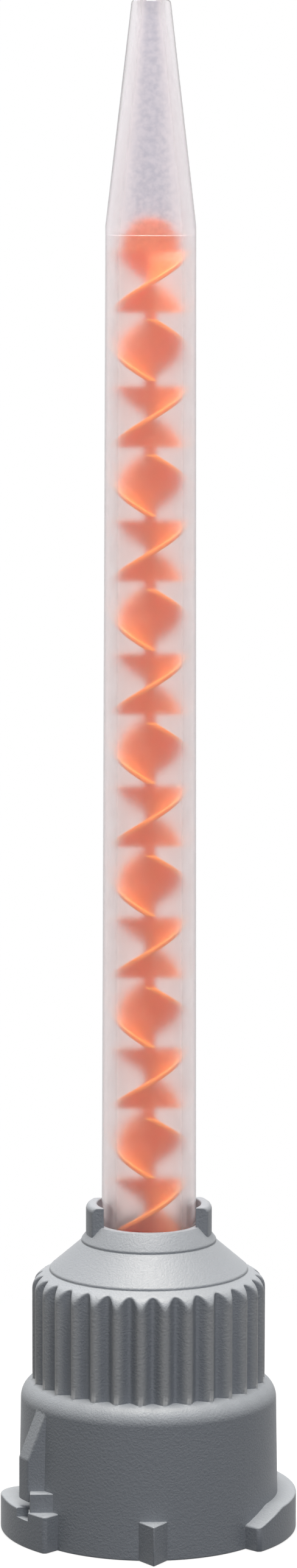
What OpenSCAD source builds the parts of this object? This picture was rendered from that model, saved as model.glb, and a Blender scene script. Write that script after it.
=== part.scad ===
// Two-component static mixing nozzle.
// A drafted tube with a tapered outlet nose holds a one-piece stack of alternating helical blades.
// An inlet plug with two sockets closes the tube's foot, and a fluted bayonet nut turns on its neck.
// The axis is Z. The nut's foot is at Z = 0 and its pointer faces -Y.

/* [Tube] */
// Outside diameter of the tube at the nut's neck
tube_d = 12.45; // [11.5:0.05:14]
// Outside diameter where the nose begins
tube_top_d = 11.7; // [11.2:0.05:12.4]
// Bore diameter at the top of the straight run
bore_d = 8.3; // [7.8:0.05:9.4]
// Widening of the bore at its foot, for mould draft
bore_draft = 0.3; // [0:0.05:0.6]
// Length of the tapered nose
nose_l = 28.7; // [20:0.1:45]
// Outside diameter of the outlet tip
tip_d = 5; // [4:0.05:7]
// Rounding of the outlet tip's outer edge
tip_round = 0.4; // [0.1:0.05:0.8]
// Diameter of the outlet bore
outlet_d = 2.5; // [1.2:0.05:3]
// Length of the straight outlet bore
outlet_land = 2; // [1:0.1:6]
// Height of the top of the mixing blades below the start of the nose
nose_gap = 3.2; // [2:0.1:8]
// Height by which the bore begins to narrow before the nose does
taper_lead = 1.2; // [0.2:0.1:2]

/* [Tube foot] */
// Diameter of the seating flange
flange_d = 29.2; // [27.4:0.1:32]
// Thickness of the seating flange
flange_t = 2.6; // [1.5:0.1:4]
// Outside diameter of the rim below the flange
rim_d = 25.6; // [24.4:0.1:27]
// Wall of the rim round the inlet plug
rim_wall = 1.6; // [1:0.1:2.4]
// Height of the rim's lower edge below the plug's disc
rim_drop = 0.4; // [0:0.1:2]
// Height of the flange's underside above the plug's seat
flange_lift = 1.6; // [1:0.1:4]
// Width of the shoulder that the plug seats on
seat_w = 1.4; // [0.6:0.1:2.5]
// Wall of the flare between the flange and the tube
flare_wall = 2.1; // [1.2:0.1:3]
// Slope of the flare from the tube's axis
flare_angle = 37; // [25:1:50]

/* [Mixing element] */
// Number of helical blades
blade_count = 18; // [6:2:24]
// Height taken by one blade and one neck
blade_pitch = 8.66; // [7:0.02:12]
// Height of the bare neck between two blades
neck_h = 0.81; // [0.4:0.01:2]
// Diameter of the neck between two blades
neck_d = 1.5; // [1.2:0.05:2.4]
// Thickness of a blade
blade_t = 1.15; // [0.8:0.05:1.5]
// Clearance between the blades and the bore
blade_gap = 0.1; // [0.05:0.01:0.4]
// Height of the flat tab above the top blade
tab_h = 4.3; // [3.6:0.1:8]
// Distance of the tab's edges inside the blades' edges
tab_inset = 0.5; // [0.3:0.1:2]
// Rounding of the tab's upper corners
tab_round = 3.4; // [0.5:0.1:3.5]

/* [Inlet plug] */
// Height of the plug's seat above the nut's foot
seat_z = 13; // [12:0.1:14.5]
// Thickness of the plug's disc
plug_t = 3; // [2.4:0.1:4]
// Diameter of the two inlet sockets
socket_d = 6.8; // [4:0.1:7.4]
// Distance of each socket from the axis
socket_x = 5.4; // [4.8:0.1:5.6]
// Wall of the collars round the sockets
collar_wall = 1.1; // [0.7:0.1:1.3]
// Length of the collars below the disc
collar_h = 3; // [1:0.1:5]
// Depth of the slot that holds the mixing element's foot
slot_depth = 1.5; // [0.6:0.1:2]
// Height of the lowest blade above the plug
foot_rise = 0.15; // [0.1:0.05:1]

/* [Nut] */
// Wall of the skirt
skirt_wall = 2.2; // [1.8:0.1:3]
// Draft of the skirt: how much its radius shrinks from the foot to the shoulder
skirt_draft = 0.3; // [0:0.05:0.5]
// Height of the skirt
skirt_h = 19.9; // [18.6:0.1:23]
// Rounding of the skirt's upper edge
skirt_round = 2.6; // [1.8:0.1:3]
// Chamfer round the mouth of the skirt
mouth_chamfer = 0.5; // [0:0.1:1]
// Step from the skirt in to the ribs of the fluted ring
ring_step = 1.75; // [1.3:0.05:2.2]
// Height of the slope from the fluted ring's upper corner, before rounding, to the foot of the cone
slope_h = 1.2; // [0.8:0.05:2.4]
// Rounding of the fluted ring's upper corner
ring_round = 2.2; // [0.8:0.1:2.4]
// Number of flutes
flute_count = 30; // [16:2:34]
// Depth of a flute
flute_depth = 1.35; // [0.4:0.05:1.5]
// Width of a flute across the rib tips
flute_w = 2.5; // [1.6:0.05:2.7]
// Wall of the fluted ring, measured over the ribs
ring_wall = 2.45; // [2:0.05:3.2]
// Width of the slope from the ribs in to the foot of the cone
slope_w = 2.35; // [1.8:0.05:3]
// Height of the cone from its foot to the collar
cone_h = 4.2; // [3:0.05:5.4]
// Diameter of the neck's collar at the top of the cone
collar_d = 17.8; // [17:0.1:19]
// Height of the collar from its lower edge to the lip
neck_collar_h = 2.1; // [1.2:0.05:3]
// Height of the small steps at the foot and the top of the cone
step_h = 0.3; // [0.1:0.05:0.6]
// Wall of the cone
cone_wall = 2; // [1.2:0.1:2.6]
// Height of the nut without its ears
nut_h = 40.95; // [40:0.05:43]
// Width of the flat lip round the neck's bore
lip_w = 0.9; // [0.2:0.05:1.1]

/* [Ears] */
// Diameter over the two ears
ear_d = 16.6; // [15:0.1:17.4]
// Diameter inside the two ears
ear_in_d = 13.7; // [13:0.1:14.4]
// Width of an ear
ear_w = 6.8; // [4:0.1:9]
// Height of the ears above the nut's lip
ear_rise = 2.65; // [1.2:0.05:5]
// Rounding of the ears' tops
ear_round = 0.7; // [0.2:0.05:0.9]

/* [Bayonet] */
// Projection of the bayonet lugs from the skirt
lug_reach = 2.4; // [1.5:0.1:3.5]
// Sweep of one lug in degrees
lug_sweep = 89; // [70:1:100]
// Height of a lug
lug_h = 4.9; // [4.4:0.1:6]
// Height of the right lug at its lead-in end
lead_h = 3.2; // [2:0.1:4]
// Sweep of the right lug's lead-in ramp in degrees
lead_sweep = 16; // [12:1:40]
// Height of the left lug at its lead-in end
long_lead_h = 1.8; // [1.5:0.1:4]
// Sweep of the left lug's lead-in ramp in degrees
long_lead_sweep = 46; // [20:1:50]
// Chamfer of a lug's outer corners
lug_chamfer = 0.4; // [0.2:0.1:1.2]
// Angle from the lug's middle to the face of the stop block, at the skirt
stop_angle = 40.9; // [36:0.1:42]
// Thickness of the stop block
stop_t = 3.8; // [2:0.1:4.4]
// Height of the stop block above the lug
stop_h = 2.5; // [1:0.1:3]
// Setback of the stop block's outer corner from the lug's face
stop_setback = 0.15; // [0.1:0.05:0.4]
// Setback of the gusset's front from the stop block's
gusset_step = 1.4; // [0.4:0.1:1.6]
// Thickness of the gusset above the stop block
gusset_t = 2.2; // [1.2:0.1:2.3]
// Setback of the gusset's outer face from the lug's
gusset_setback = 0.7; // [0.3:0.05:1.2]
// Height of the gusset's outer corner
gusset_edge_z = 11.5; // [9:0.1:13]
// Height of the gusset's upper end
gusset_top_z = 17.6; // [15:0.1:17.8]
// Depth of the notch in the lug beside the stop block
notch_depth = 1.2; // [0.4:0.1:2]
// Width of the notch
notch_w = 2.4; // [1:0.1:3]

/* [Pointer] */
// Width of the pointer's foot
pointer_w = 3.7; // [2:0.1:5]
// Height of the pointer
pointer_h = 5.2; // [3:0.1:8]
// Projection of the pointer from the skirt
pointer_reach = 2.6; // [1:0.1:3.5]

/* [Clearances] */
// Radial running clearance between the nut's neck and the tube
run_clear = 0.08; // [0.05:0.01:0.1]
// Radial clearance of the tube's flange in the nut's skirt
flange_clear = 0.4; // [0.1:0.05:0.8]
// Height between the tube's flange and the nut's ledge
ledge_clear = 0.15; // [0.1:0.05:0.4]
// Radial clearance of the plug in the rim
plug_clear = 0.05; // [0.02:0.01:0.1]
// Clearance on each side of the mixing element's foot in its slot
slot_clear = 0.05; // [0.02:0.01:0.1]
// Height of the straight neck of the tube above the ears
neck_margin = 1; // [0.5:0.1:3]

/* [Hidden] */
$fn = 96;
// Points in each rounded corner of a profile
round_steps = 6;
// Slices in one blade, and points along each long side of its section
blade_slices = 18;
side_points = 3;
section_points = 2 * side_points + 4;
// How far added features sink into the body that carries them
root = 0.6;
// How far the end tabs sink into the blades they join
tab_sink = 0.2;

tube_r = tube_d / 2;
tube_top_r = tube_top_d / 2;
bore_r = bore_d / 2;
bore_foot_r = bore_r + bore_draft / 2;
tip_r = tip_d / 2;
outlet_r = outlet_d / 2;
flange_r = flange_d / 2;
rim_r = rim_d / 2;
rim_in_r = rim_r - rim_wall;
chamber_r = rim_in_r - seat_w;

blade_h = blade_pitch - neck_h;
blade_r = bore_r - blade_gap;
blade_z = seat_z + foot_rise;
blades_top_z = blade_z + blade_count * blade_pitch - neck_h;
slot_z = seat_z - slot_depth;
tab_w = 2 * (blade_r - tab_inset);

flange_z = seat_z + flange_lift;
flange_top_z = flange_z + flange_t;
plug_z = seat_z - plug_t;
rim_z = plug_z - rim_drop;
nose_z = blades_top_z + nose_gap;
taper_z = nose_z - taper_lead;
total_h = nose_z + nose_l;
ear_z = nut_h + ear_rise;
neck_top_z = ear_z + neck_margin;

// The flare's walls are parallel, at flare_angle from the axis
flare_run = tan(flare_angle);
flare_foot_r = chamber_r + flare_wall / cos(flare_angle) - flange_t * flare_run;
flare_top_z = flange_top_z + (flare_foot_r - tube_r) / flare_run;
throat_z = flange_z + (chamber_r - bore_foot_r) / flare_run;

skirt_bore_r = flange_r + flange_clear;
skirt_r = skirt_bore_r + skirt_wall;
skirt_top_r = skirt_r - skirt_draft;
ring_r = skirt_r - ring_step;
cavity_r = ring_r - ring_wall;
cone_foot_r = ring_r - slope_w;
collar_r = collar_d / 2;
collar_z = nut_h - neck_collar_h;
cone_foot_z = collar_z - cone_h;
ring_top_z = cone_foot_z - slope_h;
neck_bore_r = tube_r + run_clear;
ledge_z = flange_top_z + ledge_clear;
lip_r = neck_bore_r + lip_w;
cone_angle = atan2(collar_z - cone_foot_z - 2 * step_h, cone_foot_r - collar_r);
// The inside of the cone runs parallel to its outside, cone_wall deeper
wall_in = cone_wall * [sin(cone_angle), cos(cone_angle)];
cavity_top_z = cone_z(cavity_r + wall_in[0]) - wall_in[1];
neck_foot_z = cone_z(neck_bore_r + wall_in[0]) - wall_in[1];
// A flute is a round cut through the rib tips at its width and full at its depth
flute_r = (pow(flute_w / 2, 2) + pow(flute_depth, 2)) / (2 * flute_depth);
flute_axis_r = ring_r - flute_depth + flute_r;

ear_r = ear_d / 2;
ear_in_r = ear_in_d / 2;
lug_r = skirt_r + lug_reach;

// Height of the cone's outer line at radius r
function cone_z(r) = cone_foot_z + step_h + (cone_foot_r - r) * tan(cone_angle);

// Points of an arc about a centre, from one angle to another
function arc(centre, r, from, to) =
    [for (i = [0:round_steps])
        let (a = from + (to - from) * i / round_steps)
        centre + r * [cos(a), sin(a)]];

// Outside and inside of the nut, turned about Z
module nut_profile() {
    slope = atan2(cone_foot_z - ring_top_z, ring_r - cone_foot_r);
    tangent = ring_round * tan((90 - slope) / 2);
    shoulder = [skirt_top_r - skirt_round, skirt_h - sqrt(pow(skirt_round, 2)
        - pow(ring_r - skirt_top_r + skirt_round, 2))];
    shoulder_end = atan2(skirt_h - shoulder[1], ring_r - shoulder[0]);
    polygon(concat(
        [[skirt_bore_r + mouth_chamfer, 0], [skirt_r, 0]],
        arc(shoulder, skirt_round, 0, shoulder_end),
        arc([ring_r - ring_round, ring_top_z - tangent], ring_round, 0, 90 - slope),
        [[cone_foot_r, cone_foot_z],
            [cone_foot_r, cone_foot_z + step_h],
            [collar_r, collar_z - step_h],
            [collar_r, collar_z],
            [lip_r, nut_h],
            [neck_bore_r, nut_h],
            [neck_bore_r, neck_foot_z],
            [cavity_r, cavity_top_z],
            [cavity_r, ledge_z],
            [skirt_bore_r, ledge_z],
            [skirt_bore_r, mouth_chamfer]]));
}

// Space that the nut keeps within: plain round the skirt, scalloped round the ring and cone
module fluted_envelope() {
    cylinder(r = skirt_r, h = skirt_h);
    translate([0, 0, skirt_h])
        linear_extrude(nut_h)
            difference() {
                circle(r = skirt_r);
                for (i = [0:flute_count - 1])
                    rotate(i * 360 / flute_count)
                        translate([0, -flute_axis_r])
                            circle(r = flute_r);
            }
}

// Two fingers that stand on the collar and guide the tube
module ears() {
    foot_z = cone_z(ear_r) - root;
    intersection() {
        rotate_extrude()
            polygon(concat(
                [[ear_in_r, foot_z], [ear_r, foot_z]],
                arc([ear_r - ear_round, ear_z - ear_round], ear_round, 0, 90),
                [[ear_in_r, ear_z]]));
        translate([-ear_r, -ear_w / 2, foot_z])
            cube([2 * ear_r, ear_w, ear_z]);
    }
}

// One lug, with its ramp at the lead-in end and its stop at the other
module bayonet_lug(lead_h, lead_sweep) {
    half = lug_sweep / 2;
    foot_r = skirt_r - root;
    ramp_l = lug_r * lead_sweep * PI / 180;
    ramp_angle = atan2(lug_h - lead_h, ramp_l);
    stop_r = lug_r - stop_setback;
    stop_y = skirt_r * sin(stop_angle);
    stop_x = sqrt(pow(stop_r, 2) - pow(stop_y, 2));
    difference() {
        rotate(-half)
            rotate_extrude(angle = lug_sweep)
                translate([foot_r, 0])
                    square([lug_r - foot_r, lug_h]);
        rotate(-half)
            translate([0, 0, lead_h])
                rotate([ramp_angle, 0, 0])
                    translate([0, -lug_r, 0])
                        cube([2 * lug_r, 2 * lug_r, lug_h]);
        for (side = [-1, 1])
            rotate(side * half)
                translate([lug_r, 0, lug_h / 2])
                    rotate(45)
                        cube([lug_chamfer * sqrt(2), lug_chamfer * sqrt(2), 2 * lug_h], center = true);
        translate([stop_x + stop_setback, stop_y - stop_setback - notch_w, lug_h - notch_depth])
            cube([lug_r, notch_w, lug_h]);
    }
    // Stop block, with its face square to Y
    slab_of_ring(stop_y - stop_t, stop_y, stop_x)
        translate([foot_r - stop_setback, lug_h - root / 2])
            square([stop_r - foot_r + stop_setback, stop_h + root / 2]);
    gusset(stop_y - gusset_step);
}

// The part of a turned profile between two planes square to Y, out to a reach along X
module slab_of_ring(from, to, reach) {
    intersection() {
        rotate_extrude() children();
        translate([0, from, 0])
            cube([reach, to - from, skirt_h]);
    }
}

// The brace above the stop block, with its front at y and a slope up to the skirt
module gusset(y) {
    r = lug_r - gusset_setback;
    foot_r = skirt_top_r - root / 2;
    foot_z = lug_h + stop_h - root;
    slope = (gusset_top_z - gusset_edge_z) / (r - skirt_top_r);
    slab_of_ring(y - gusset_t, y, lug_r)
        polygon([[foot_r, foot_z], [r, foot_z], [r, gusset_edge_z], [foot_r, gusset_top_z + slope * root / 2]]);
}

// The V-shaped rib that shows which way the nut is turned
module pointer() {
    foot_y = sqrt(pow(skirt_r, 2) - pow(pointer_w / 2, 2));
    linear_extrude(pointer_h)
        polygon([[-pointer_w / 2, -foot_y], [0, -skirt_r - pointer_reach], [pointer_w / 2, -foot_y],
            [pointer_w / 2, root - foot_y], [-pointer_w / 2, root - foot_y]]);
}

module retaining_nut() {
    color("#6E7174") {
        intersection() {
            rotate_extrude() nut_profile();
            fluted_envelope();
        }
        ears();
        for (turn = [0, 180])
            rotate(turn) {
                bayonet_lug(turn == 0 ? lead_h : long_lead_h, turn == 0 ? lead_sweep : long_lead_sweep);
                pointer();
            }
    }
}

module mixer_tube() {
    tip_corner = [tip_r - tip_round, total_h - tip_round];
    color("#E4DCE0", 0.5)
        rotate_extrude()
            polygon(concat(
                [[rim_in_r, rim_z], [rim_r, rim_z],
                    [rim_r, flange_z], [flange_r, flange_z],
                    [flange_r, flange_top_z], [flare_foot_r, flange_top_z],
                    [tube_r, flare_top_z], [tube_r, neck_top_z],
                    [tube_top_r, nose_z]],
                arc(tip_corner, tip_round, 0, 90),
                [[outlet_r, total_h], [outlet_r, total_h - outlet_land],
                    [bore_r, taper_z], [bore_foot_r, throat_z],
                    [chamber_r, flange_z], [chamber_r, seat_z], [rim_in_r, seat_z]]));
}

// Section of a blade: a flat strip with rounded edges
module blade_section() {
    half_t = blade_t / 2;
    flat = blade_r - half_t / 2;
    polygon(concat(
        [for (i = [0:side_points]) [-flat + 2 * flat * i / side_points, -half_t]],
        [[blade_r, 0]],
        [for (i = [0:side_points]) [flat - 2 * flat * i / side_points, half_t]],
        [[-blade_r, 0]]));
}

// One blade of half a turn, with both ends along X
module blade(hand) {
    linear_extrude(blade_h, twist = hand * 180, slices = blade_slices, segments = section_points)
        blade_section();
}

// A flat tab along X, standing on Z = 0, with its upper corners rounded
module end_tab(h, corner) {
    half = tab_w / 2;
    translate([0, blade_t / 2, 0])
        rotate([90, 0, 0])
            linear_extrude(blade_t)
                polygon(concat(
                    [[-half, 0], [half, 0]],
                    arc([half - corner, h - corner], corner, 0, 90),
                    arc([corner - half, h - corner], corner, 90, 180)));
}

module mixing_element() {
    color("#F0824A") {
        for (i = [0:blade_count - 1])
            translate([0, 0, blade_z + i * blade_pitch])
                rotate(i % 2 == 0 ? 90 : 0)
                    blade(i % 2 == 0 ? 1 : -1);
        for (i = [1:blade_count - 1])
            translate([0, 0, blade_z + i * blade_pitch - 2 * neck_h])
                cylinder(d = neck_d, h = 3 * neck_h, $fn = 24);
        translate([0, 0, blades_top_z - tab_sink])
            end_tab(tab_h, min(tab_round, tab_w / 2 - 0.1));
        translate([0, 0, slot_z])
            rotate(90)
                end_tab(blade_z - slot_z + tab_sink, tab_sink / 2);
    }
}

module inlet_plug() {
    color("#E9C9A8")
        difference() {
            union() {
                translate([0, 0, plug_z])
                    cylinder(r = rim_in_r - plug_clear, h = plug_t);
                for (side = [-1, 1])
                    translate([side * socket_x, 0, plug_z - collar_h])
                        cylinder(d = socket_d + 2 * collar_wall, h = collar_h + plug_t / 2);
            }
            for (side = [-1, 1])
                translate([side * socket_x, 0, plug_z - collar_h - root])
                    cylinder(d = socket_d, h = collar_h + plug_t + 2 * root);
            translate([-blade_t / 2 - slot_clear, -tab_w / 2 - slot_clear, slot_z])
                cube([blade_t + 2 * slot_clear, tab_w + 2 * slot_clear, slot_depth + root]);
        }
}

retaining_nut();
mixer_tube();
mixing_element();
inlet_plug();
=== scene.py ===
# %% [markdown]
# # A static mixing nozzle
#
# This nozzle blends two-component adhesive. A translucent tube holds a stack of orange helical blades, an
# inlet plug closes its foot, and a grey bayonet nut turns on its neck and locks it to a cartridge.
#
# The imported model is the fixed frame: it gives the place, the size and the moving bodies. The pieces below
# stand in for its plain solids with finer meshes, and they never leave its box.

# %% The frame
import math

import bmesh
import bpy
from mathutils import Matrix, Vector


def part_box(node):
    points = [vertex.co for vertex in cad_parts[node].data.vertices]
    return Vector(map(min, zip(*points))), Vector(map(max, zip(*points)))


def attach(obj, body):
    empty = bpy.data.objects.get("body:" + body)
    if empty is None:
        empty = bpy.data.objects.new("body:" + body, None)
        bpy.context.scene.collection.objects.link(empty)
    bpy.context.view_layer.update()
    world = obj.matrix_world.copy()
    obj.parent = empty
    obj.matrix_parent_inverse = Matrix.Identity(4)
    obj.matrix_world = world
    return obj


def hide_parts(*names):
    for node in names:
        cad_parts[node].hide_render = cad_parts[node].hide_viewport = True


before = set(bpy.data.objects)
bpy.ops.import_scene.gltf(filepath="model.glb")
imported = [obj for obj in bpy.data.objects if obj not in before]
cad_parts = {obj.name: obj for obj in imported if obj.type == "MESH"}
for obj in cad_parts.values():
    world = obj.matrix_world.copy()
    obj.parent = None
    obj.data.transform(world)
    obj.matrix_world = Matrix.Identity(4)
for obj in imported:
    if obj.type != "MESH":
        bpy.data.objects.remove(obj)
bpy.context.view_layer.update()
MM = 0.001

# %% [markdown]
# ## Outlines, turned shapes and lofts
#
# Every piece here is a moulding that was turned or swept in the toolmaker's shop, so three helpers do most
# of the work. One rounds the corners of an outline, one turns an outline about the axis, and one lofts a
# solid through a row of equal sections. Lengths are written in millimetres and become metres in
# `new_piece`, and angles are in degrees.

# %% Rounding an outline
def arc(centre, radius, start, end, steps):
    """Points of an arc from one angle to another, in degrees."""
    turns = [math.radians(start + (end - start) * k / steps) for k in range(steps + 1)]
    return [(centre[0] + radius * math.cos(a), centre[1] + radius * math.sin(a)) for a in turns]


def rounded(corners, steps=4):
    """Points of a closed outline whose corners are (x, y, rounding)."""
    points = []
    for k, (x, y, rounding) in enumerate(corners):
        here = Vector((x, y))
        if not rounding:
            points.append((x, y))
            continue
        back = (Vector(corners[k - 1][:2]) - here).normalized()
        ahead = (Vector(corners[(k + 1) % len(corners)][:2]) - here).normalized()
        half = back.angle(ahead) / 2
        centre = here + (back + ahead).normalized() * rounding / math.sin(half)
        first = here + back * rounding / math.tan(half) - centre
        last = here + ahead * rounding / math.tan(half) - centre
        start = math.degrees(math.atan2(first.y, first.x))
        sweep = (math.degrees(math.atan2(last.y, last.x)) - start + 180) % 360 - 180
        points += arc(centre, rounding, start, start + sweep, steps)
    return points


square = rounded([(0, 0, 0.5), (2, 0, 0.5), (2, 2, 0.5), (0, 2, 0.5)])
print("a 2 mm square with 0.5 mm corners has", len(square), "points")


# %% Turning an outline
def new_piece(name, points, faces):
    """A mesh object from points in millimetres."""
    mesh = bpy.data.meshes.new(name)
    mesh.from_pydata([(x * MM, y * MM, z * MM) for x, y, z in points], [], faces)
    piece = bpy.data.objects.new(name, mesh)
    bpy.context.scene.collection.objects.link(piece)
    return piece


def turned(name, outline, turns, reshape=None):
    """A closed outline of (r, z) turned about Z at the given angles; reshape gives r at (r, z, angle)."""
    points = []
    for r, z in outline:
        for turn in turns:
            reach = reshape(r, z, turn) if reshape else r
            angle = math.radians(turn)
            points.append((reach * math.cos(angle), reach * math.sin(angle), z))
    rows, columns = len(outline), len(turns)
    faces = []
    for i in range(rows):
        low, high = i * columns, (i + 1) % rows * columns
        for j in range(columns):
            beside = (j + 1) % columns
            faces.append((low + j, low + beside, high + beside, high + j))
    return new_piece(name, points, faces)


def even_turns(count):
    """Angles of an even division of the circle."""
    return [360 * k / count for k in range(count)]


print("the circle in four:", even_turns(4))


# %% Lofting sections
def lofted(name, sections):
    """A solid through closed sections of equal length, each a list of (x, y, z), with flat ends."""
    size = len(sections[0])
    points = [p for section in sections for p in section]
    faces = [tuple(reversed(range(size))), tuple(range(len(points) - size, len(points)))]
    for i in range(len(sections) - 1):
        for j in range(size):
            k = (j + 1) % size
            faces.append((i * size + j, i * size + k, (i + 1) * size + k, (i + 1) * size + j))
    piece = new_piece(name, points, faces)
    shell = bmesh.new()
    shell.from_mesh(piece.data)
    bmesh.ops.recalc_face_normals(shell, faces=shell.faces)
    shell.to_mesh(piece.data)
    shell.free()
    return piece


def turned_copy(points, angle):
    """Points turned about Z by an angle in degrees."""
    cos, sin = math.cos(math.radians(angle)), math.sin(math.radians(angle))
    return [(x * cos - y * sin, x * sin + y * cos, z) for x, y, z in points]


print("(2, 0, 0) turned by 60 degrees:", [round(v, 2) for v in turned_copy([(2, 0, 0)], 60)[0]])

# %% [markdown]
# ## Joining and softening
#
# A moulding has no knife edges: the tool leaves a small radius on each. `softened` bevels the sharp edges
# of a solid before it is joined, and `fused` makes one closed skin of several solids with Boolean
# modifiers, so no faces are left inside. Smooth shading with marked sharp edges then keeps the flats flat.

# %% Softening, fusing and shading
BEVEL_STEPS = 3


def softened(piece, width, sharp):
    """Bevels the edges of a piece that are sharper than an angle in degrees."""
    shell = bmesh.new()
    shell.from_mesh(piece.data)
    edges = [e for e in shell.edges if e.is_manifold and e.calc_face_angle(0) > math.radians(sharp)]
    print(piece.name, "has", len(edges), "edges to soften by", width, "mm")
    bmesh.ops.bevel(shell, geom=edges, offset=width * MM, segments=BEVEL_STEPS, profile=0.5,
                    affect="EDGES", clamp_overlap=True)
    shell.to_mesh(piece.data)
    shell.free()
    return piece


def fused(piece, others, operation="UNION"):
    """Joins other solids to a piece, or cuts them from it, and takes them away."""
    for other in others:
        step = piece.modifiers.new("fuse", "BOOLEAN")
        step.operation = operation
        step.solver = "MANIFOLD"
        step.object = other
    result = piece.evaluated_get(bpy.context.evaluated_depsgraph_get())
    mesh = bpy.data.meshes.new_from_object(result)
    piece.modifiers.clear()
    piece.data = mesh
    for other in others:
        bpy.data.objects.remove(other)
    print(operation.lower(), "of", piece.name, "and", len(others), "more")
    return piece


def smooth(piece, sharp):
    """Smooth shading, with edges sharper than an angle in degrees kept crisp."""
    piece.data.shade_smooth()
    piece.data.set_sharp_from_angle(angle=math.radians(sharp))
    weigh = piece.modifiers.new("even shading", "WEIGHTED_NORMAL")
    weigh.keep_sharp = True
    print(piece.name, "has", len(piece.data.polygons), "faces")
    return piece


# %% [markdown]
# ## The nut's body
#
# The nut is one grey moulding: a skirt with a rounded shoulder, a ring of flutes for the fingers, and a cone
# up to the neck. Its outline is turned about the axis, and the flutes press the radius in as a wave, so ribs
# and grooves are equally round. A soft minimum of outline and wave lets each groove run out in a pointed
# arch with a small radius, as the mould shaped it, which a plain Boolean cut would not.

# %% Outline of the nut
SKIRT_R, SKIRT_TOP_R, SKIRT_BORE_R, SKIRT_H, SKIRT_ROUND = 17.2, 16.9, 15.0, 19.9, 2.6
RING_R, RING_TOP, RING_ROUND, CAVITY_R, CAVITY_ROUND = 15.45, 33.45, 2.2, 13.0, 1.0
CONE_FOOT, COLLAR, STEP, CONE_WALL = (13.1, 34.65), (8.9, 38.85), 0.3, 2.0
NECK_TOP, NECK_R, NECK_EDGE, LIP_R, LIP_EDGE = 40.95, 6.305, 0.1, 7.205, 0.15
LEDGE_Z, LEDGE_ROUND, MOUTH, EDGE, CREASE, CREST = 17.35, 0.4, 0.5, 0.2, 0.17, 0.4
RIB_FOOT, LONG_STEP, FINE_STEP = 0.15, 1.6, 0.14

cone_angle = math.atan2(COLLAR[1] - CONE_FOOT[1] - 2 * STEP, CONE_FOOT[0] - COLLAR[0])
inward = (math.sin(cone_angle), math.cos(cone_angle))


def on_cone(r, depth):
    """Point at radius r on the cone's line, moved in by a depth."""
    z = CONE_FOOT[1] + STEP + (CONE_FOOT[0] - r) * math.tan(cone_angle)
    return (r - depth * inward[0], z - depth * inward[1])


def finer(points, step):
    """The same open line with points no further apart than step."""
    line = [points[0]]
    for (x0, y0), (x1, y1) in zip(points, points[1:]):
        parts = max(1, math.ceil(math.hypot(x1 - x0, y1 - y0) / step))
        line += [(x0 + (x1 - x0) * k / parts, y0 + (y1 - y0) * k / parts) for k in range(1, parts + 1)]
    return line


shoulder_r = SKIRT_TOP_R - SKIRT_ROUND
shoulder_z = SKIRT_H - math.sqrt(SKIRT_ROUND ** 2 - (RING_R - shoulder_r) ** 2)
shoulder_end = math.degrees(math.atan2(SKIRT_H - shoulder_z, RING_R - shoulder_r))
slope = math.degrees(math.atan2(CONE_FOOT[1] - RING_TOP, RING_R - CONE_FOOT[0]))
tangent = RING_ROUND * math.tan(math.radians((90 - slope) / 2))
ring_arc = arc((RING_R - RING_ROUND, RING_TOP - tangent), RING_ROUND, 0, 90 - slope, steps=12)
cavity_top = on_cone(CAVITY_R + CONE_WALL * inward[0], CONE_WALL)
neck_foot = on_cone(NECK_R + CONE_WALL * inward[0], CONE_WALL)

skirt = rounded([(SKIRT_BORE_R + MOUTH, 0, 0), (SKIRT_R, 0, EDGE), (SKIRT_TOP_R, shoulder_z, 0)])
skirt += arc((shoulder_r, shoulder_z), SKIRT_ROUND, 0, shoulder_end, steps=10)[1:]
ring = finer([(RING_R, SKIRT_H + RIB_FOOT), (RING_R, ring_arc[0][1])], LONG_STEP)[:-1]
ring += finer(ring_arc + [CONE_FOOT], FINE_STEP)
cone_and_inside = rounded([
    CONE_FOOT + (CREASE,), (CONE_FOOT[0], CONE_FOOT[1] + STEP, CREST),
    (COLLAR[0], COLLAR[1] - STEP, CREASE), COLLAR + (CREST,),
    (LIP_R, NECK_TOP, LIP_EDGE), (NECK_R, NECK_TOP, NECK_EDGE),
    neck_foot + (EDGE,), cavity_top + (CAVITY_ROUND,),
    (CAVITY_R, LEDGE_Z, EDGE), (SKIRT_BORE_R, LEDGE_Z, LEDGE_ROUND),
    (SKIRT_BORE_R, MOUTH, 0), (RING_R, RING_TOP, 0)], steps=5)
nut_outline = skirt + ring[:-1] + cone_and_inside[:-1]
print("nut outline has", len(nut_outline), "points")
print("the cone rises at", round(math.degrees(cone_angle), 1), "degrees")

# %% Flutes
FLUTES, FLUTE_DEPTH, RIB_ROUND, FLUTE_COLUMNS, SPARE = 30, 1.35, 0.25, 16, 0.05
FRONT = -90


def flute_wall(r, z, turn):
    """Radius of the nut at a turn, pressed in where a flute passes; skirt and cavity keep theirs."""
    if z <= SKIRT_H or r < CAVITY_R + SPARE:
        return r
    wave = math.cos(math.radians((turn - FRONT) * FLUTES))
    wall = RING_R - FLUTE_DEPTH * (1 + wave) / 2
    near = max(RIB_ROUND - abs(r - wall), 0) / RIB_ROUND
    return min(r, wall) - near * near * RIB_ROUND / 4


nut = turned("nut", nut_outline, even_turns(FLUTES * FLUTE_COLUMNS), flute_wall)
print("nut body has", len(nut.data.polygons), "faces and a flute every", 360 / FLUTES, "degrees")

# %% [markdown]
# ## Ears, lugs, stops and pointers
#
# Two ears on the neck steady the tube. At the foot, two bayonet lugs slide under the cartridge's claws: each
# has a sloped lead-in at one end and a stop block with a gusset at the other. Two V-shaped pointers show how
# far the nut is turned. Each is lofted, softened and fused to the body, so the nut stays a single skin, as
# it was moulded.

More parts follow.
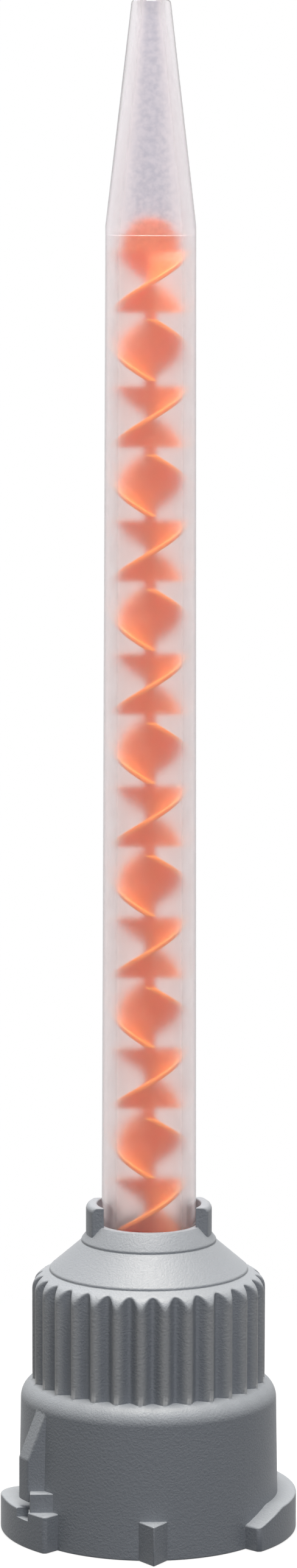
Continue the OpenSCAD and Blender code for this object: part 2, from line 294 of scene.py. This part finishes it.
# %% Ears
SIDES = (0, 180)
EAR_R, EAR_IN_R, EAR_W, EAR_TOP, EAR_ROUND = 8.3, 6.85, 6.8, 43.6, 0.7
EAR_SINK, EAR_SOFT, EAR_STEPS = 0.6, 0.3, 14
ear_foot = on_cone(EAR_R, EAR_SINK)[1]
ear_sections = []
for step in range(EAR_STEPS + 1):
    y = EAR_W * (step / EAR_STEPS - 0.5)
    outer = math.sqrt(EAR_R ** 2 - y * y)
    inner = math.sqrt(EAR_IN_R ** 2 - y * y)
    section = rounded([(inner, ear_foot, 0), (outer, ear_foot, 0), (outer, EAR_TOP, EAR_ROUND),
                       (inner, EAR_TOP, EDGE)])
    ear_sections.append([(x, y, z) for x, z in section])
ears = []
for side in SIDES:
    ear = lofted("ear", [turned_copy(section, side) for section in ear_sections])
    ears.append(softened(ear, EAR_SOFT, sharp=50))
print("ears reach", round(EAR_TOP - NECK_TOP, 2), "mm above the lip")

# %% Lugs
LUG_R, LUG_HALF, LUG_H, LUG_CHAMFER, LUG_SOFT, LUG_STEPS = 19.6, 44.5, 4.9, 0.4, 0.2, 44
# The height and the sweep of the lead-in on each side.
LEADS = {0: (3.2, 16), 180: (1.8, 46)}
ROOT_R = 16.5


def lug_sections(lead_h, lead_sweep):
    """Sections of a lug round the skirt, with chamfered outer ends and a ramp at the lead-in end."""
    ramp = (LUG_H - lead_h) / math.radians(lead_sweep)
    cut = math.degrees(LUG_CHAMFER / LUG_R)
    inside = [-LUG_HALF + cut + 2 * (LUG_HALF - cut) * k / LUG_STEPS for k in range(LUG_STEPS + 1)]
    stations = [(-LUG_HALF, LUG_R - LUG_CHAMFER)] + [(turn, LUG_R) for turn in inside]
    stations.append((LUG_HALF, LUG_R - LUG_CHAMFER))
    for turn, reach in stations:
        top = min(LUG_H, lead_h + ramp * math.sin(math.radians(turn + LUG_HALF)))
        yield turned_copy([(ROOT_R, 0, 0), (reach, 0, 0), (reach, 0, top), (ROOT_R, 0, top)], turn)


lugs = {}
for side in SIDES:
    lugs[side] = softened(lofted("lug", list(lug_sections(*LEADS[side]))), LUG_SOFT, sharp=40)
    print("the lug at", side, "degrees starts", LEADS[side][0], "mm high")

# %% Stops, gussets and notches
STOP_R, STOP_T, STOP_H, STOP_TURN, STOP_SINK, STOP_SOFT = 19.45, 3.8, 2.5, 40.9, 0.3, 0.15
GUSSET_R, GUSSET_STEP, GUSSET_T, GUSSET_EDGE, GUSSET_TOP = 18.9, 1.4, 2.2, 11.5, 17.6
GUSSET_RISE, GUSSET_SOFT, SLAB_STEPS = 1, 0.2, 8
NOTCH_W, NOTCH_DEPTH, NOTCH_GAP = 2.4, 1.2, 0.15
FAR = 2 * LUG_R


def slab(name, profile, start, end):
    """A turned profile between two planes square to Y; its points are (r, most x, z)."""
    sections = []
    for k in range(SLAB_STEPS + 1):
        y = start + (end - start) * k / SLAB_STEPS
        sections.append([(min(math.sqrt(r * r - y * y), limit), y, z) for r, limit, z in profile])
    return lofted(name, sections)


def placed(piece, angle):
    """Turns a piece's mesh about Z."""
    piece.data.transform(Matrix.Rotation(math.radians(angle), 4, "Z"))
    return piece


stop_y = SKIRT_R * math.sin(math.radians(STOP_TURN))
stop_x = math.sqrt(STOP_R ** 2 - stop_y ** 2)
stop_foot, stop_top = LUG_H - STOP_SINK, LUG_H + STOP_H
stop_profile = [(ROOT_R, FAR, stop_foot), (STOP_R, stop_x, stop_foot), (STOP_R, stop_x, stop_top),
                (ROOT_R, FAR, stop_top)]
gusset_y, gusset_foot = stop_y - GUSSET_STEP, LUG_H + GUSSET_RISE
lean = (GUSSET_TOP - GUSSET_EDGE) / (GUSSET_R - SKIRT_TOP_R)
gusset_profile = [(ROOT_R, FAR, gusset_foot), (GUSSET_R, FAR, gusset_foot), (GUSSET_R, FAR, GUSSET_EDGE),
                  (ROOT_R, FAR, GUSSET_TOP + lean * (SKIRT_TOP_R - ROOT_R))]
notch_x, notch_y, notch_z = stop_x + NOTCH_GAP, stop_y - NOTCH_GAP, LUG_H - NOTCH_DEPTH
notch_plan = [(notch_x, notch_z), (FAR, notch_z), (FAR, FAR), (notch_x, FAR)]
nut_features = []
for side in SIDES:
    notch = lofted("notch", [[(x, y, z) for x, z in notch_plan] for y in (notch_y - NOTCH_W, notch_y)])
    lug = fused(lugs[side], [notch], "DIFFERENCE")
    stop = softened(slab("stop", stop_profile, stop_y - STOP_T, stop_y), STOP_SOFT, sharp=40)
    gusset = softened(slab("gusset", gusset_profile, gusset_y - GUSSET_T, gusset_y), GUSSET_SOFT, sharp=15)
    nut_features += [placed(feature, side) for feature in (lug, stop, gusset)]
print("stop faces lie", round(stop_y, 2), "mm from the middle")

# %% Pointers, and the nut in one skin
POINTER_W, POINTER_H, POINTER_REACH, POINTER_SINK, POINTER_SOFT = 3.7, 5.2, 2.6, 0.6, 0.15
half_w = POINTER_W / 2
pointer_y = -math.sqrt(SKIRT_R ** 2 - half_w ** 2)
pointer_plan = [(-half_w, pointer_y), (-half_w, pointer_y + POINTER_SINK),
                (half_w, pointer_y + POINTER_SINK), (half_w, pointer_y), (0, -SKIRT_R - POINTER_REACH)]
for side in SIDES:
    pointer = lofted("pointer", [[(x, y, z) for x, y in pointer_plan] for z in (0, POINTER_H)])
    nut_features.append(placed(softened(pointer, POINTER_SOFT, sharp=40), side))

fused(nut, ears + nut_features)
smooth(nut, sharp=38)
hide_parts("retaining_nut")
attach(nut, "nut")

# %% [markdown]
# ## The tube
#
# The tube is moulded in natural plastic: a flanged foot inside the nut, a long run with a slight draft and a
# tapered nose. Its outline is turned with many columns, because a lens with flat facets would break up what
# is seen through it. The bore and the outside are one closed skin, so light bends on its way in and out. A
# tiny step in the bore, where the core pin begins to narrow, leaves the fine witness line below the nose.

# %% Tube
tube_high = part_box("mixer_tube")[1]
tip_z = tube_high[2] / MM
TUBE_R, TUBE_TOP_R, TUBE_FOOT_Z, TUBE_BEND, TUBE_COLUMNS = 6.225, 5.85, 44.6, 3, 192
NOSE_L, TIP_R, TIP_ROUND, OUTLET_R, OUTLET_LAND, OUTLET_EDGE = 28.7, 2.5, 0.4, 1.25, 2.0, 0.12
BORE_R, BORE_FOOT_R, BORE_BEND, TAPER_LEAD, WITNESS = 4.15, 4.3, 2, 1.2, 0.022
RIM_R, RIM_BORE_R, RIM_Z, RIM_EDGE, CHAMBER_R, SEAT_Z = 12.8, 11.2, 9.6, 0.15, 9.8, 13
FLANGE_R, FLANGE_LOW, FLANGE_TOP, FLANGE_EDGE = 14.6, 14.6, 17.2, 0.3
FLARE_ANGLE, FLARE_WALL, FLARE_ROUND = math.radians(37), 2.1, 0.5

flare = math.tan(FLARE_ANGLE)
flare_foot = CHAMBER_R + FLARE_WALL / math.cos(FLARE_ANGLE) - (FLANGE_TOP - FLANGE_LOW) * flare
nose_z = tip_z - NOSE_L
taper_z = nose_z - TAPER_LEAD
outside = [
    (RIM_BORE_R, RIM_Z, RIM_EDGE), (RIM_R, RIM_Z, FLANGE_EDGE), (RIM_R, FLANGE_LOW, EDGE),
    (FLANGE_R, FLANGE_LOW, FLANGE_EDGE), (FLANGE_R, FLANGE_TOP, FLANGE_EDGE),
    (flare_foot, FLANGE_TOP, FLARE_ROUND), (TUBE_R, FLANGE_TOP + (flare_foot - TUBE_R) / flare, TUBE_BEND),
    (TUBE_R, TUBE_FOOT_Z, 0), (TUBE_TOP_R, nose_z, TUBE_BEND), (TIP_R, tip_z, TIP_ROUND)]
bore = [
    (OUTLET_R, tip_z, OUTLET_EDGE), (OUTLET_R, tip_z - OUTLET_LAND, BORE_BEND),
    (BORE_R - WITNESS, taper_z + 1.5 * WITNESS, 0), (BORE_R, taper_z, 0),
    (BORE_FOOT_R, FLANGE_LOW + (CHAMBER_R - BORE_FOOT_R) / flare, BORE_BEND),
    (CHAMBER_R, FLANGE_LOW, FLARE_ROUND), (CHAMBER_R, SEAT_Z, EDGE), (RIM_BORE_R, SEAT_Z, EDGE)]
tube = turned("tube", rounded(outside + bore, steps=6), even_turns(TUBE_COLUMNS))
smooth(tube, sharp=25)
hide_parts("mixer_tube")
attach(tube, "mixer")
print("tube tip at", round(tip_z, 2), "mm, wall", round(TUBE_R - BORE_FOOT_R, 2), "mm at the neck")

# %% [markdown]
# ## The mixing element
#
# Each blade is a flat strip twisted by half a turn. Left- and right-handed blades alternate, each set at
# right angles to the next, so the two liquids are split and folded again and again. A blade is lofted from
# one strip section turned step by step, which gives smooth helical faces, and short round necks join the
# blades. A flat tab at each end holds the stack.

# %% Blades
BLADES, BLADE_PITCH, BLADE_T, BLADE_R, BLADE_Z = 18, 8.66, 1.15, 4.05, 13.15
NECK_GAP, STRIP_MID, STRIP_EDGE, TURN_STEPS = 0.81, 2, 0.28, 36
blade_h = BLADE_PITCH - NECK_GAP
half_t = BLADE_T / 2


def strip_section(turn, z):
    """Section of a blade: a strip with rounded edges, turned about the axis."""
    face = [(-BLADE_R, STRIP_EDGE), (-STRIP_MID, 0), (0, 0), (STRIP_MID, 0), (BLADE_R, STRIP_EDGE)]
    corners = [(x, -half_t, rounding) for x, rounding in face]
    corners += [(x, half_t, rounding) for x, rounding in reversed(face)]
    return turned_copy([(x, y, z) for x, y in rounded(corners, steps=3)], turn)


blades = []
for k in range(BLADES):
    start, hand = (90, -1) if k % 2 == 0 else (0, 1)
    foot = BLADE_Z + k * BLADE_PITCH
    sections = [strip_section(start + hand * 180 * s / TURN_STEPS, foot + blade_h * s / TURN_STEPS)
                for s in range(TURN_STEPS + 1)]
    blades.append(lofted("blade", sections))
print(len(blades), "blades, each half a turn in", round(blade_h, 2), "mm")

# %% Necks and tabs
NECK_D, NECK_SWELL, NECK_COLUMNS = 1.5, 1.15, 24
NECK_ROWS = ((0, 1), (1, NECK_SWELL), (1.2, 1), (1.8, 1), (2, NECK_SWELL), (3, 1))
TAB_INSET, TAB_H, TAB_ROUND, TAB_SINK, TAB_SOFT = 0.5, 4.3, 3.4, 0.2, 0.2
SLOT_Z, SLOT_SOFT = 11.5, 0.08

necks = []
for k in range(1, BLADES):
    foot = BLADE_Z + k * BLADE_PITCH - 2 * NECK_GAP
    sections = []
    for rise, swell in NECK_ROWS:
        circle = arc((0, 0), NECK_D / 2 * swell, 0, 360 - 360 / NECK_COLUMNS, NECK_COLUMNS - 1)
        sections.append([(x, y, foot + rise * NECK_GAP) for x, y in circle])
    necks.append(lofted("neck", sections))


def flat_tab(name, plan, soft):
    """A tab as thick as a blade, from a plan of (x, z)."""
    return softened(lofted(name, [[(x, y, z) for x, z in plan] for y in (-half_t, half_t)]), soft, sharp=50)


tab_half = BLADE_R - TAB_INSET
tab_foot = BLADE_Z + BLADES * BLADE_PITCH - NECK_GAP - TAB_SINK
tab_top = tab_foot + TAB_H
tab_plan = rounded([(-tab_half, tab_foot, 0), (tab_half, tab_foot, 0), (tab_half, tab_top, TAB_ROUND),
                    (-tab_half, tab_top, TAB_ROUND)], steps=8)
slot_top = BLADE_Z + TAB_SINK
slot_plan = [(-tab_half, SLOT_Z), (tab_half, SLOT_Z), (tab_half, slot_top), (-tab_half, slot_top)]
top_tab = flat_tab("top tab", tab_plan, TAB_SOFT)
foot_tab = placed(flat_tab("foot tab", slot_plan, SLOT_SOFT), 90)
print(len(necks), "necks, and tabs", round(2 * tab_half, 2), "mm wide")

# %% The element in one skin
element_low, element_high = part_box("mixing_element")
element = blades[0]
element.name = "element"
fused(element, blades[1:] + necks + [top_tab, foot_tab])
smooth(element, sharp=35)
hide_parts("mixing_element")
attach(element, "mixer")
print("element from", round(element_low[2] / MM, 2), "to", round(element_high[2] / MM, 2), "mm")

# %% [markdown]
# ## Finishes
#
# A moulded plastic is its pigment, the texture of its mould and, where it has little pigment, the light that
# passes through it. Colours are written as they look, in sRGB hex, and one function turns them to the linear
# values that shaders use. One more function adds a node with its settings and links. Sockets are given by
# name, or by number where several share a name.

# %% Colour and nodes
PLASTIC_IOR = 1.49
# A mix of colours has the two at its sockets 6 and 7, and the result at its output 2.
MIX_A, MIX_B, MIXED = 6, 7, 2


def linear(hex_code):
    """Linear RGBA of an sRGB hex colour."""
    parts = [int(hex_code[k:k + 2], 16) / 255 for k in (1, 3, 5)]
    return [c / 12.92 if c <= 0.04045 else ((c + 0.055) / 1.055) ** 2.4 for c in parts] + [1.0]


def add_node(tree, kind, inputs=None, **settings):
    """Adds a node; settings are its properties, and inputs are values or sockets by name or number."""
    node = tree.nodes.new(kind)
    for name, value in settings.items():
        setattr(node, name, value)
    for name, value in (inputs or {}).items():
        if isinstance(value, bpy.types.NodeSocket):
            tree.links.new(value, node.inputs[name])
        else:
            node.inputs[name].default_value = value
    return node


def new_finish(name):
    """An empty material and its node tree."""
    finish = bpy.data.materials.new(name)
    finish.use_nodes = True
    finish.node_tree.nodes.clear()
    return finish, finish.node_tree


def per_metre(millimetres):
    """Texture scale that gives a pattern about this size."""
    return 1 / (millimetres * MM)


print("mid grey in linear light:", [round(c, 3) for c in linear("#808080")])

# %% [markdown]
# ### Grey polypropylene with a spark-eroded texture
#
# The nut's mould was eroded by sparks, which leaves an even fine grain on the plastic. The grain breaks up
# reflections, so the nut looks matt, and slow flow in the mould leaves faint cloudy shifts in the grey. Real
# grain is finer than a tenth of a millimetre, so it is drawn coarser, as coarse as it needs to show. The
# rib tips are painted a shade lighter than the grooves: a painted highlight on the proud ribs, which catch
# more light than the shaded grooves.

# %% Nut finish
GRAIN_MM, GRAIN_DEPTH_MM, CLOUD_MM, TIP_MM, FADE_LOW_MM, FADE_HIGH_MM = 0.3, 0.08, 7.0, 0.8, 0.5, 2
nut_finish, tree = new_finish("polypropylene, spark-eroded grey")
where = add_node(tree, "ShaderNodeTexCoord").outputs["Object"]
grain = add_node(tree, "ShaderNodeTexNoise", {
    "Vector": where, "Scale": per_metre(GRAIN_MM), "Detail": 3.0, "Roughness": 0.6})
cloud = add_node(tree, "ShaderNodeTexNoise", {"Vector": where, "Scale": per_metre(CLOUD_MM), "Detail": 2.0})
speck = add_node(tree, "ShaderNodeMix", {
    0: grain.outputs[0], MIX_A: linear("#7D8187"), MIX_B: linear("#A1A5AB")}, data_type="RGBA")
even = add_node(tree, "ShaderNodeMix", {
    0: cloud.outputs[0], MIX_A: speck.outputs[MIXED], MIX_B: linear("#8F9398")}, data_type="RGBA")
parts = add_node(tree, "ShaderNodeSeparateXYZ", {0: where})
across = add_node(tree, "ShaderNodeVectorMath", {0: where, 1: (1, 1, 0)}, operation="MULTIPLY")
reach = add_node(tree, "ShaderNodeVectorMath", {0: across.outputs[0]}, operation="LENGTH")
# Painted highlight: the rib tips, between the skirt and the cone, are painted a lighter grey (#AFB0B0).
proud = add_node(tree, "ShaderNodeMapRange", {
    "Value": reach.outputs["Value"], "From Min": (RING_R - TIP_MM) * MM, "From Max": RING_R * MM})
above = add_node(tree, "ShaderNodeMapRange", {
    "Value": parts.outputs["Z"], "From Min": SKIRT_H * MM, "From Max": (SKIRT_H + FADE_LOW_MM) * MM})
below = add_node(tree, "ShaderNodeMapRange", {
    "Value": parts.outputs["Z"], "From Min": (RING_TOP - FADE_HIGH_MM) * MM, "From Max": RING_TOP * MM,
    "To Min": 1.0, "To Max": 0.0})
height = add_node(tree, "ShaderNodeMath", {0: above.outputs[0], 1: below.outputs[0]}, operation="MULTIPLY")
painted_rib_light = add_node(tree, "ShaderNodeMath", {0: proud.outputs[0], 1: height.outputs[0]}, operation="MULTIPLY")
grey = add_node(tree, "ShaderNodeMix", {
    0: painted_rib_light.outputs[0], MIX_A: even.outputs[MIXED], MIX_B: linear("#AFB0B0")}, data_type="RGBA")
rough = add_node(tree, "ShaderNodeMapRange", {
    "Value": grain.outputs[0], "From Min": 0.3, "From Max": 0.7, "To Min": 0.42, "To Max": 0.58})
bump = add_node(tree, "ShaderNodeBump", {
    "Height": grain.outputs[0], "Strength": 0.7, "Distance": GRAIN_DEPTH_MM * MM})
skin = add_node(tree, "ShaderNodeBsdfPrincipled", {
    "Base Color": grey.outputs[MIXED], "Roughness": rough.outputs[0], "IOR": PLASTIC_IOR,
    "Normal": bump.outputs[0]})
add_node(tree, "ShaderNodeOutputMaterial", {"Surface": skin.outputs[0]})
nut.data.materials.clear()
nut.data.materials.append(nut_finish)
print("nut grain is", GRAIN_MM, "mm wide and", GRAIN_DEPTH_MM, "mm deep")

# %% [markdown]
# ### Natural polypropylene, translucent
#
# Without pigment the plastic is milky: its crystals scatter light a little. The outside is smooth and the
# bore, shaped by a long core pin, is frosted. So what touches the bore is seen clearly, and what lies deeper
# blurs. Two finishes with different roughness do just that. The nose cools slowly, so it is cloudier, in
# fine grey patches. Rays towards the lamp go straight through the wall, because a path tracer finds a lamp
# behind rough glass only by luck.

# %% Natural plastic
WAVE_MM, GRIT_MM, CLOUDY_FROM_MM, CLOUDY_TO_MM = 2.5, 0.7, 166.0, 173.0
NOSE_MATT, CLEARNESS = 0.06, 0.965


def natural_plastic(name, tints, smoothest, roughest):
    """Translucent plastic; the tints are for the run, the nose's sides, its middle and edge-on walls."""
    run_tint, side_tint, middle_tint, edge_tint = [linear(tint) for tint in tints]
    finish, tree = new_finish(name)
    where = add_node(tree, "ShaderNodeTexCoord").outputs["Object"]
    flow = add_node(tree, "ShaderNodeTexNoise", {
        "Vector": where, "Scale": per_metre(WAVE_MM), "Detail": 2.0})
    rough = add_node(tree, "ShaderNodeMapRange", {
        "Value": flow.outputs[0], "From Min": 0.3, "From Max": 0.7, "To Min": smoothest, "To Max": roughest})
    facing = add_node(tree, "ShaderNodeLayerWeight", {"Blend": 0.5}).outputs["Facing"]
    parts = add_node(tree, "ShaderNodeSeparateXYZ", {0: where})
    cloudy = add_node(tree, "ShaderNodeMapRange", {
        "Value": parts.outputs["Z"], "From Min": CLOUDY_FROM_MM * MM, "From Max": CLOUDY_TO_MM * MM},
        interpolation_type="SMOOTHSTEP")
    matt = add_node(tree, "ShaderNodeMath", {
        0: cloudy.outputs[0], 1: NOSE_MATT, 2: rough.outputs[0]}, operation="MULTIPLY_ADD")
    front = add_node(tree, "ShaderNodeMapRange", {
        "Value": facing, "From Min": 0.01, "From Max": 0.34, "To Min": 1.0, "To Max": 0.1},
        interpolation_type="SMOOTHSTEP")
    grit = add_node(tree, "ShaderNodeTexNoise", {
        "Vector": where, "Scale": per_metre(GRIT_MM), "Detail": 2.0})
    patchy = add_node(tree, "ShaderNodeMapRange", {
        "Value": grit.outputs[0], "From Min": 0.35, "From Max": 0.65, "To Min": 0.55, "To Max": 1.0})
    milky = add_node(tree, "ShaderNodeMath", {
        0: cloudy.outputs[0], 1: patchy.outputs[0]}, operation="MULTIPLY")
    grey = add_node(tree, "ShaderNodeMath", {0: milky.outputs[0], 1: front.outputs[0]}, operation="MULTIPLY")
    side = add_node(tree, "ShaderNodeMix", {
        0: cloudy.outputs[0], MIX_A: run_tint, MIX_B: side_tint}, data_type="RGBA")
    body = add_node(tree, "ShaderNodeMix", {
        0: grey.outputs[0], MIX_A: side.outputs[MIXED], MIX_B: middle_tint}, data_type="RGBA")
    edge = add_node(tree, "ShaderNodeMapRange", {
        "Value": facing, "From Min": 0.6, "From Max": 0.88}, interpolation_type="SMOOTHSTEP")
    tint = add_node(tree, "ShaderNodeMix", {
        0: edge.outputs[0], MIX_A: body.outputs[MIXED], MIX_B: edge_tint}, data_type="RGBA")
    skin = add_node(tree, "ShaderNodeBsdfPrincipled", {
        "Base Color": tint.outputs[MIXED], "Roughness": matt.outputs[0], "IOR": PLASTIC_IOR,
        "Transmission Weight": CLEARNESS})
    through = add_node(tree, "ShaderNodeMix", {
        0: cloudy.outputs[0], MIX_A: linear("#F4F0F1"), MIX_B: linear("#DAD6DA")}, data_type="RGBA")
    clear = add_node(tree, "ShaderNodeBsdfTransparent", {"Color": through.outputs[MIXED]})
    path = add_node(tree, "ShaderNodeLightPath")
    both = add_node(tree, "ShaderNodeMixShader", {
        0: path.outputs["Is Shadow Ray"], 1: skin.outputs[0], 2: clear.outputs[0]})
    add_node(tree, "ShaderNodeOutputMaterial", {"Surface": both.outputs[0]})
    print(name, "has roughness", smoothest, "to", roughest)
    return finish


# %% Tube finishes
SMOOTH_TINTS = ("#F2E9E9", "#F5F0F2", "#E8E5EA", "#857C80")
FROSTED_TINTS = ("#F7E8E4", "#FCF5F5", "#BEBDC7", "#CDC5C7")
tube.data.materials.clear()
tube.data.materials.append(natural_plastic("polypropylene, natural smooth", SMOOTH_TINTS, 0.1, 0.14))
tube.data.materials.append(natural_plastic("polypropylene, natural frosted", FROSTED_TINTS, 0.42, 0.5))
for face in tube.data.polygons:
    faces_axis = face.normal.x * face.center.x + face.normal.y * face.center.y < 0
    face.material_index = 1 if faces_axis else 0
frosted = sum(face.material_index for face in tube.data.polygons)
print("frosted faces in the bore:", frosted, "of", len(tube.data.polygons))

# %% [markdown]
# ### Orange polypropylene
#
# The blades are pigmented bright orange and come from a fine mould, so they are smoother than the nut. Thin
# plastic lets some light through, red furthest, which keeps the shaded faces warm. The rims are painted a
# shade lighter, a painted highlight on the thin edges. The inlet plug is moulded in the same plastic.

# %% Element finish
FLOW_MM, RIM_FROM_MM, RIM_TO_MM, GLOW, GLOW_MM = 3.0, 3.5, 4.0, 0.7, (2.0, 0.7, 0.3)
element_finish, tree = new_finish("polypropylene, moulded orange")
where = add_node(tree, "ShaderNodeTexCoord").outputs["Object"]
flow = add_node(tree, "ShaderNodeTexNoise", {"Vector": where, "Scale": per_metre(FLOW_MM), "Detail": 3.0})
orange = add_node(tree, "ShaderNodeMix", {
    0: flow.outputs[0], MIX_A: linear("#FA7F34"), MIX_B: linear("#FF8F40")}, data_type="RGBA")
across = add_node(tree, "ShaderNodeVectorMath", {0: where, 1: (1, 1, 0)}, operation="MULTIPLY")
reach = add_node(tree, "ShaderNodeVectorMath", {0: across.outputs[0]}, operation="LENGTH")
# Painted highlight: the blade rims, from 3.5 mm out from the axis, are painted a lighter orange (#FF9844).
painted_rim_highlight = add_node(tree, "ShaderNodeMapRange", {
    "Value": reach.outputs["Value"], "From Min": RIM_FROM_MM * MM, "From Max": RIM_TO_MM * MM},
    interpolation_type="SMOOTHSTEP")
orange_with_painted_rim = add_node(tree, "ShaderNodeMix", {
    0: painted_rim_highlight.outputs[0], MIX_A: orange.outputs[MIXED], MIX_B: linear("#FF9844")}, data_type="RGBA")
rough = add_node(tree, "ShaderNodeMapRange", {"Value": flow.outputs[0], "To Min": 0.42, "To Max": 0.52})
skin = add_node(tree, "ShaderNodeBsdfPrincipled", {
    "Base Color": orange_with_painted_rim.outputs[MIXED], "Roughness": rough.outputs[0], "IOR": PLASTIC_IOR,
    "Subsurface Weight": GLOW, "Subsurface Radius": [depth * MM for depth in GLOW_MM],
    "Subsurface Scale": 1.0})
add_node(tree, "ShaderNodeOutputMaterial", {"Surface": skin.outputs[0]})
for piece in (element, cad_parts["inlet_plug"]):
    piece.data.materials.clear()
    piece.data.materials.append(element_finish)
print("red light goes", GLOW_MM[0], "mm into the blades, blue light", GLOW_MM[2], "mm")

# %% [markdown]
# ## Floor and light
#
# The nozzle stands on a pale floor under a broad overhead softbox, with weak ones in front and behind, so
# the faces that look up are bright and the upright ones are dark. Camera, mirror and lens rays see the floor
# and the sky as plain white. Matt surfaces see a dim, slightly blue sky, and the blades, whose rays reach
# the surroundings through the tube, get a share of the white, so they keep some shade.

# %% Sky
SKY_LIGHT, SKY_INSIDE = 0.07, 0.8
world = bpy.data.worlds.new("studio")
bpy.context.scene.world = world
world.use_nodes = True
tree = world.node_tree
tree.nodes.clear()
path = add_node(tree, "ShaderNodeLightPath")
seen = add_node(tree, "ShaderNodeMath", {
    0: path.outputs["Is Camera Ray"], 1: path.outputs["Is Glossy Ray"]}, operation="MAXIMUM")
seen = add_node(tree, "ShaderNodeMath", {
    0: seen.outputs[0], 1: path.outputs["Is Transmission Ray"]}, operation="MAXIMUM")
level = add_node(tree, "ShaderNodeMapRange", {"Value": seen.outputs[0], "To Min": SKY_LIGHT, "To Max": 1.0})
inside = add_node(tree, "ShaderNodeMapRange", {
    "Value": path.outputs["Diffuse Depth"], "To Min": 1.0, "To Max": SKY_INSIDE})
level = add_node(tree, "ShaderNodeMath", {0: level.outputs[0], 1: inside.outputs[0]}, operation="MULTIPLY")
shade = add_node(tree, "ShaderNodeMix", {
    0: seen.outputs[0], MIX_A: linear("#E2EAF8"), MIX_B: linear("#FFFFFF")}, data_type="RGBA")
sky = add_node(tree, "ShaderNodeBackground", {"Color": shade.outputs[MIXED], "Strength": level.outputs[0]})
add_node(tree, "ShaderNodeOutputWorld", {"Surface": sky.outputs[0]})
print("sky lights matt surfaces at", SKY_LIGHT)

# %% Floor
FLOOR_HALF, FLOOR_LIGHT, SHADOW_FROM, SHADOW_TO, SHADOW_WHITE = 900, 0.85, 0.03, 0.13, 0.7
corners = [(x * FLOOR_HALF, y * FLOOR_HALF, 0) for x, y in ((-1, -1), (1, -1), (1, 1), (-1, 1))]
floor = new_piece("floor", corners, [(0, 1, 2, 3)])
floor_finish, tree = new_finish("paper, pale matt")
path = add_node(tree, "ShaderNodeLightPath")
lens = add_node(tree, "ShaderNodeMath", {
    0: path.outputs["Is Glossy Ray"], 1: path.outputs["Is Transmission Ray"]}, operation="MAXIMUM")
where = add_node(tree, "ShaderNodeTexCoord").outputs["Object"]
away = add_node(tree, "ShaderNodeVectorMath", {0: where}, operation="LENGTH")
clean = add_node(tree, "ShaderNodeMapRange", {
    "Value": away.outputs["Value"], "From Min": SHADOW_FROM, "From Max": SHADOW_TO,
    "To Min": SHADOW_WHITE, "To Max": 1.0})
bare = add_node(tree, "ShaderNodeMath", {
    0: path.outputs["Is Camera Ray"], 1: clean.outputs[0]}, operation="MULTIPLY")
fill = add_node(tree, "ShaderNodeMapRange", {
    "Value": path.outputs["Diffuse Depth"], "To Min": 1.0, "To Max": FLOOR_LIGHT})
lens = add_node(tree, "ShaderNodeMath", {0: lens.outputs[0], 1: fill.outputs[0]}, operation="MULTIPLY")
share = add_node(tree, "ShaderNodeMath", {0: lens.outputs[0], 1: bare.outputs[0]}, operation="MAXIMUM")
paper = add_node(tree, "ShaderNodeMix", {
    0: path.outputs["Is Camera Ray"], MIX_A: linear("#383B3F"), MIX_B: linear("#F0F0F0")}, data_type="RGBA")
matt = add_node(tree, "ShaderNodeBsdfDiffuse", {"Color": paper.outputs[MIXED]})
white = add_node(tree, "ShaderNodeEmission", {"Color": linear("#FFFFFF"), "Strength": 1.0})
both = add_node(tree, "ShaderNodeMixShader", {0: share.outputs[0], 1: matt.outputs[0], 2: white.outputs[0]})
add_node(tree, "ShaderNodeOutputMaterial", {"Surface": both.outputs[0]})
floor.data.materials.append(floor_finish)
print("floor is", 2 * FLOOR_HALF * MM, "m wide")


# %% Lamps
def add_lamp(name, place, aim, width, watts, tint):
    """A square soft lamp at a place in metres, aimed at a point; rays through the tube don't see it."""
    data = bpy.data.lights.new(name, "AREA")
    data.size = width
    data.energy = watts
    data.color = linear(tint)[:3]
    lamp = bpy.data.objects.new(name, data)
    bpy.context.scene.collection.objects.link(lamp)
    lamp.location = place
    lamp.rotation_euler = (Vector(aim) - Vector(place)).to_track_quat("-Z", "Y").to_euler()
    lamp.visible_transmission = False
    print(name, "is", round((Vector(place) - Vector(aim)).length, 2), "m from where it aims")


add_lamp("overhead softbox", (-0.01, -0.03, 0.85), (0, 0, 0.05), width=0.34, watts=12.4, tint="#FFFBF3")
add_lamp("front softbox", (0.12, -0.46, 0.64), (0, 0, 0.1), width=0.4, watts=2.0, tint="#F1F5FF")
add_lamp("back softbox", (-0.12, 0.5, 0.6), (0, 0, 0.1), width=0.4, watts=1.3, tint="#F1F5FF")

# %% [markdown]
# ## Camera
#
# The camera stands where the photographer's did: a long lens, level with the foot of the nose, looking down
# by seven degrees. Distance and lens come from the way the nut's circles open towards the foot. Lengths are
# in metres here, and angles in degrees.

# %% Camera
AWAY, UP, TILT, AROUND, PAN, ROLL = 0.61292, 0.17443, 7.0, -2.1, 0.0148, 0.109
SENSOR_MM, LENS_MM = 36, 108.74
camera_data = bpy.data.cameras.new("camera")
camera_data.sensor_fit = "VERTICAL"
camera_data.sensor_height = SENSOR_MM
camera_data.lens = LENS_MM
camera = bpy.data.objects.new("camera", camera_data)
bpy.context.scene.collection.objects.link(camera)
around = math.radians(AROUND)
stand = Matrix.Translation((AWAY * math.sin(around), -AWAY * math.cos(around), UP))
turn = Matrix.Rotation(math.radians(AROUND + PAN), 4, "Z")
tip = Matrix.Rotation(math.radians(90 - TILT), 4, "X")
camera.matrix_world = stand @ turn @ tip @ Matrix.Rotation(math.radians(ROLL), 4, "Z")
bpy.context.scene.camera = camera
bpy.context.scene.view_settings.view_transform = "Standard"
print("camera at", [round(v, 3) for v in camera.matrix_world.translation])
